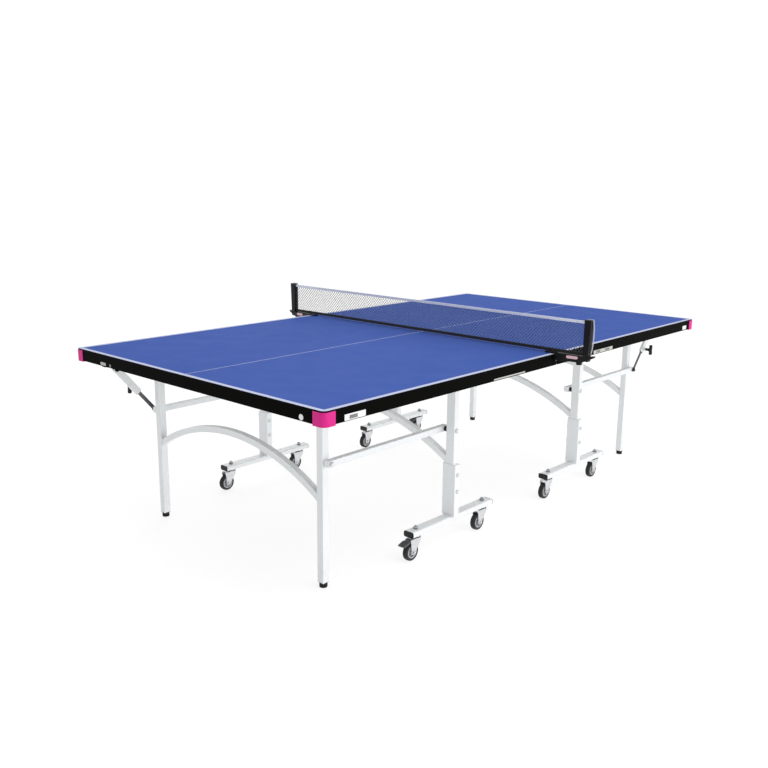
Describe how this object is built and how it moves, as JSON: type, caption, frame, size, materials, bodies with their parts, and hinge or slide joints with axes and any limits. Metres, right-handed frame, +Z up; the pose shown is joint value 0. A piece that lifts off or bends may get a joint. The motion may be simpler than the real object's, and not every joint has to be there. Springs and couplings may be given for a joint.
{
  "type": "ping pong table",
  "caption": "Folding ping pong table: two blue tops on a white tube undercarriage with parallel-link folding legs, stays, swivel castors and a net on brackets.",
  "frame": {"origin": "on the floor under the centre of the net", "axes": "+X along the table's length towards the far end, +Y across it, +Z up"},
  "size_m": [2.745, 1.872, 0.918],
  "materials": {
    "table_top": "satin roller-coated playing surface",
    "frame_black": "satin black powder coat",
    "corner_guard": "soft moulded plastic",
    "frame_white": "semi-gloss powder coat",
    "black_plastic": "moulded",
    "foot_rubber": "matt",
    "zinc": "bright zinc plating",
    "dark_steel": "dark plated",
    "tyre": "matt rubber",
    "hub": "moulded",
    "pedal": "moulded",
    "net_post": "satin black",
    "net_mesh": "knitted cord"
  },
  "bodies": {
    "far_undercarriage": {"far_posts": "frame_white", "far_post_arch": "frame_white", "far_castor_feet": "frame_white", "far_bar_caps": "black_plastic", "far_carriage_bolts": "zinc"},
    "near_undercarriage": {"near_posts": "frame_white", "near_post_arch": "frame_white", "near_castor_feet": "frame_white", "near_bar_caps": "black_plastic", "near_carriage_bolts": "zinc"},
    "near_top": {"near_top_board": "table_top", "near_apron_frame": "frame_black", "near_corner_guards": "corner_guard", "net_posts": "net_post", "net_mesh": "net_mesh"},
    "near_leg_frame": {"near_legs": "frame_white", "near_leg_arch": "frame_white", "near_leg_feet": "foot_rubber"},
    "near_links": {"near_link_bars": "frame_white"},
    "near_stay_upper": {"near_stay_channel": "frame_white"},
    "near_stay_lower": {"near_stay_rod": "dark_steel"},
    "near_stay_lock": {"near_stay_handle": "black_plastic"},
    "near_castor_1_swivel_body": {"near_castor_1_fork": "zinc"},
    "near_castor_1_wheel": {"near_castor_1_tyre": "tyre", "near_castor_1_hub": "hub"},
    "near_brake": {"near_brake_pedal": "pedal"},
    "near_castor_2_swivel_body": {"near_castor_2_fork": "zinc"},
    "near_castor_2_wheel": {"near_castor_2_tyre": "tyre", "near_castor_2_hub": "hub"},
    "near_castor_3_swivel_body": {"near_castor_3_fork": "zinc"},
    "near_castor_3_wheel": {"near_castor_3_tyre": "tyre", "near_castor_3_hub": "hub"},
    "near_castor_4_swivel_body": {"near_castor_4_fork": "zinc"},
    "near_castor_4_wheel": {"near_castor_4_tyre": "tyre", "near_castor_4_hub": "hub"},
    "far_top": {"far_top_board": "table_top", "far_apron_frame": "frame_black", "far_corner_guards": "corner_guard"},
    "far_leg_frame": {"far_legs": "frame_white", "far_leg_arch": "frame_white", "far_leg_feet": "foot_rubber"},
    "far_links": {"far_link_bars": "frame_white"},
    "far_stay_upper": {"far_stay_channel": "frame_white"},
    "far_stay_lower": {"far_stay_rod": "dark_steel"},
    "far_stay_lock": {"far_stay_handle": "black_plastic"},
    "far_castor_1_swivel_body": {"far_castor_1_fork": "zinc"},
    "far_castor_1_wheel": {"far_castor_1_tyre": "tyre", "far_castor_1_hub": "hub"},
    "far_brake": {"far_brake_pedal": "pedal"},
    "far_castor_2_swivel_body": {"far_castor_2_fork": "zinc"},
    "far_castor_2_wheel": {"far_castor_2_tyre": "tyre", "far_castor_2_hub": "hub"},
    "far_castor_3_swivel_body": {"far_castor_3_fork": "zinc"},
    "far_castor_3_wheel": {"far_castor_3_tyre": "tyre", "far_castor_3_hub": "hub"},
    "far_castor_4_swivel_body": {"far_castor_4_fork": "zinc"},
    "far_castor_4_wheel": {"far_castor_4_tyre": "tyre", "far_castor_4_hub": "hub"},
    "near_side_height_lock": {"near_side_height_screw": "net_post"},
    "far_side_height_lock": {"far_side_height_screw": "net_post"}
  },
  "joints": [
    {"name": "near_roll", "type": "slide", "parent": "far_undercarriage", "child": "near_undercarriage", "axis": [-1, 0, 0], "range_m": [0, 0.395]},
    {"name": "near_fold", "type": "hinge", "parent": "near_undercarriage", "child": "near_top", "pos_m": [-0.487, 0, 0.69], "axis": [0, 1, 0], "range_deg": [0, 90]},
    {"name": "near_leg_fold", "type": "hinge", "parent": "near_top", "child": "near_leg_frame", "pos_m": [-1.135, 0, 0.69], "axis": [0, 1, 0], "range_deg": [-90, 0]},
    {"name": "near_link_fold", "type": "hinge", "parent": "near_undercarriage", "child": "near_links", "pos_m": [-0.487, 0, 0.485], "axis": [0, 1, 0], "range_deg": [0, 90]},
    {"name": "near_stay_swing", "type": "hinge", "parent": "near_top", "child": "near_stay_upper", "pos_m": [-1.31, 0, 0.69], "axis": [0, 1, 0], "range_deg": [-49.5, 0]},
    {"name": "near_stay_rod_swing", "type": "hinge", "parent": "near_leg_frame", "child": "near_stay_lower", "pos_m": [-1.135, 0, 0.485], "axis": [0, 1, 0], "range_deg": [0, 40.5]},
    {"name": "near_stay_release", "type": "slide", "parent": "near_stay_upper", "child": "near_stay_lock", "axis": [0, 1, 0], "range_m": [0, 0.008], "stiffness_N_per_m": 600, "springref_m": -0.004},
    {"name": "near_castor_1_swivel", "type": "hinge", "parent": "near_undercarriage", "child": "near_castor_1_swivel_body", "pos_m": [-0.706, -0.588, 0.09], "axis": [0, 0, 1], "continuous": true},
    {"name": "near_castor_1_spin", "type": "hinge", "parent": "near_castor_1_swivel_body", "child": "near_castor_1_wheel", "pos_m": [-0.736, -0.588, 0.0375], "axis": [0, 1, 0], "continuous": true},
    {"name": "near_brake_press", "type": "hinge", "parent": "near_castor_1_swivel_body", "child": "near_brake", "pos_m": [-0.744, -0.588, 0.084], "axis": [0, -1, 0], "range_deg": [0, 8]},
    {"name": "near_castor_2_swivel", "type": "hinge", "parent": "near_undercarriage", "child": "near_castor_2_swivel_body", "pos_m": [-0.706, 0.588, 0.09], "axis": [0, 0, 1], "continuous": true},
    {"name": "near_castor_2_spin", "type": "hinge", "parent": "near_castor_2_swivel_body", "child": "near_castor_2_wheel", "pos_m": [-0.736, 0.588, 0.0375], "axis": [0, 1, 0], "continuous": true},
    {"name": "near_castor_3_swivel", "type": "hinge", "parent": "near_undercarriage", "child": "near_castor_3_swivel_body", "pos_m": [-0.266, -0.588, 0.09], "axis": [0, 0, 1], "continuous": true},
    {"name": "near_castor_3_spin", "type": "hinge", "parent": "near_castor_3_swivel_body", "child": "near_castor_3_wheel", "pos_m": [-0.296, -0.588, 0.0375], "axis": [0, 1, 0], "continuous": true},
    {"name": "near_castor_4_swivel", "type": "hinge", "parent": "near_undercarriage", "child": "near_castor_4_swivel_body", "pos_m": [-0.266, 0.588, 0.09], "axis": [0, 0, 1], "continuous": true},
    {"name": "near_castor_4_spin", "type": "hinge", "parent": "near_castor_4_swivel_body", "child": "near_castor_4_wheel", "pos_m": [-0.296, 0.588, 0.0375], "axis": [0, 1, 0], "continuous": true},
    {"name": "far_fold", "type": "hinge", "parent": "far_undercarriage", "child": "far_top", "pos_m": [0.487, 0, 0.69], "axis": [0, -1, 0], "range_deg": [0, 90]},
    {"name": "far_leg_fold", "type": "hinge", "parent": "far_top", "child": "far_leg_frame", "pos_m": [1.135, 0, 0.69], "axis": [0, -1, 0], "range_deg": [-90, 0]},
    {"name": "far_link_fold", "type": "hinge", "parent": "far_undercarriage", "child": "far_links", "pos_m": [0.487, 0, 0.485], "axis": [0, -1, 0], "range_deg": [0, 90]},
    {"name": "far_stay_swing", "type": "hinge", "parent": "far_top", "child": "far_stay_upper", "pos_m": [1.31, 0, 0.69], "axis": [0, -1, 0], "range_deg": [-49.5, 0]},
    {"name": "far_stay_rod_swing", "type": "hinge", "parent": "far_leg_frame", "child": "far_stay_lower", "pos_m": [1.135, 0, 0.485], "axis": [0, -1, 0], "range_deg": [0, 40.5]},
    {"name": "far_stay_release", "type": "slide", "parent": "far_stay_upper", "child": "far_stay_lock", "axis": [0, -1, 0], "range_m": [0, 0.008], "stiffness_N_per_m": 600, "springref_m": -0.004},
    {"name": "far_castor_1_swivel", "type": "hinge", "parent": "far_undercarriage", "child": "far_castor_1_swivel_body", "pos_m": [0.706, 0.588, 0.09], "axis": [0, 0, 1], "continuous": true},
    {"name": "far_castor_1_spin", "type": "hinge", "parent": "far_castor_1_swivel_body", "child": "far_castor_1_wheel", "pos_m": [0.676, 0.588, 0.0375], "axis": [0, 1, 0], "continuous": true},
    {"name": "far_brake_press", "type": "hinge", "parent": "far_castor_1_swivel_body", "child": "far_brake", "pos_m": [0.668, 0.588, 0.084], "axis": [0, -1, 0], "range_deg": [0, 8]},
    {"name": "far_castor_2_swivel", "type": "hinge", "parent": "far_undercarriage", "child": "far_castor_2_swivel_body", "pos_m": [0.706, -0.588, 0.09], "axis": [0, 0, 1], "continuous": true},
    {"name": "far_castor_2_spin", "type": "hinge", "parent": "far_castor_2_swivel_body", "child": "far_castor_2_wheel", "pos_m": [0.676, -0.588, 0.0375], "axis": [0, 1, 0], "continuous": true},
    {"name": "far_castor_3_swivel", "type": "hinge", "parent": "far_undercarriage", "child": "far_castor_3_swivel_body", "pos_m": [0.266, 0.588, 0.09], "axis": [0, 0, 1], "continuous": true},
    {"name": "far_castor_3_spin", "type": "hinge", "parent": "far_castor_3_swivel_body", "child": "far_castor_3_wheel", "pos_m": [0.236, 0.588, 0.0375], "axis": [0, 1, 0], "continuous": true},
    {"name": "far_castor_4_swivel", "type": "hinge", "parent": "far_undercarriage", "child": "far_castor_4_swivel_body", "pos_m": [0.266, -0.588, 0.09], "axis": [0, 0, 1], "continuous": true},
    {"name": "far_castor_4_spin", "type": "hinge", "parent": "far_castor_4_swivel_body", "child": "far_castor_4_wheel", "pos_m": [0.236, -0.588, 0.0375], "axis": [0, 1, 0], "continuous": true},
    {"name": "near_side_height_lock_turn", "type": "slide", "parent": "near_top", "child": "near_side_height_lock", "axis": [0, 0, -1], "range_m": [0, 0.008]},
    {"name": "far_side_height_lock_turn", "type": "slide", "parent": "near_top", "child": "far_side_height_lock", "axis": [0, 0, -1], "range_m": [0, 0.008]}
  ],
  "couplings": [
    {"joint": "near_roll", "follows": "near_fold", "m_per_rad": 0.25},
    {"joint": "near_leg_fold", "follows": "near_fold", "ratio": -1},
    {"joint": "near_link_fold", "follows": "near_fold", "ratio": 1},
    {"joint": "near_stay_swing", "follows": "near_fold", "ratio": -0.55},
    {"joint": "near_stay_rod_swing", "follows": "near_fold", "ratio": 0.45},
    {"joint": "far_leg_fold", "follows": "far_fold", "ratio": -1},
    {"joint": "far_link_fold", "follows": "far_fold", "ratio": 1},
    {"joint": "far_stay_swing", "follows": "far_fold", "ratio": -0.55},
    {"joint": "far_stay_rod_swing", "follows": "far_fold", "ratio": 0.45}
  ]
}
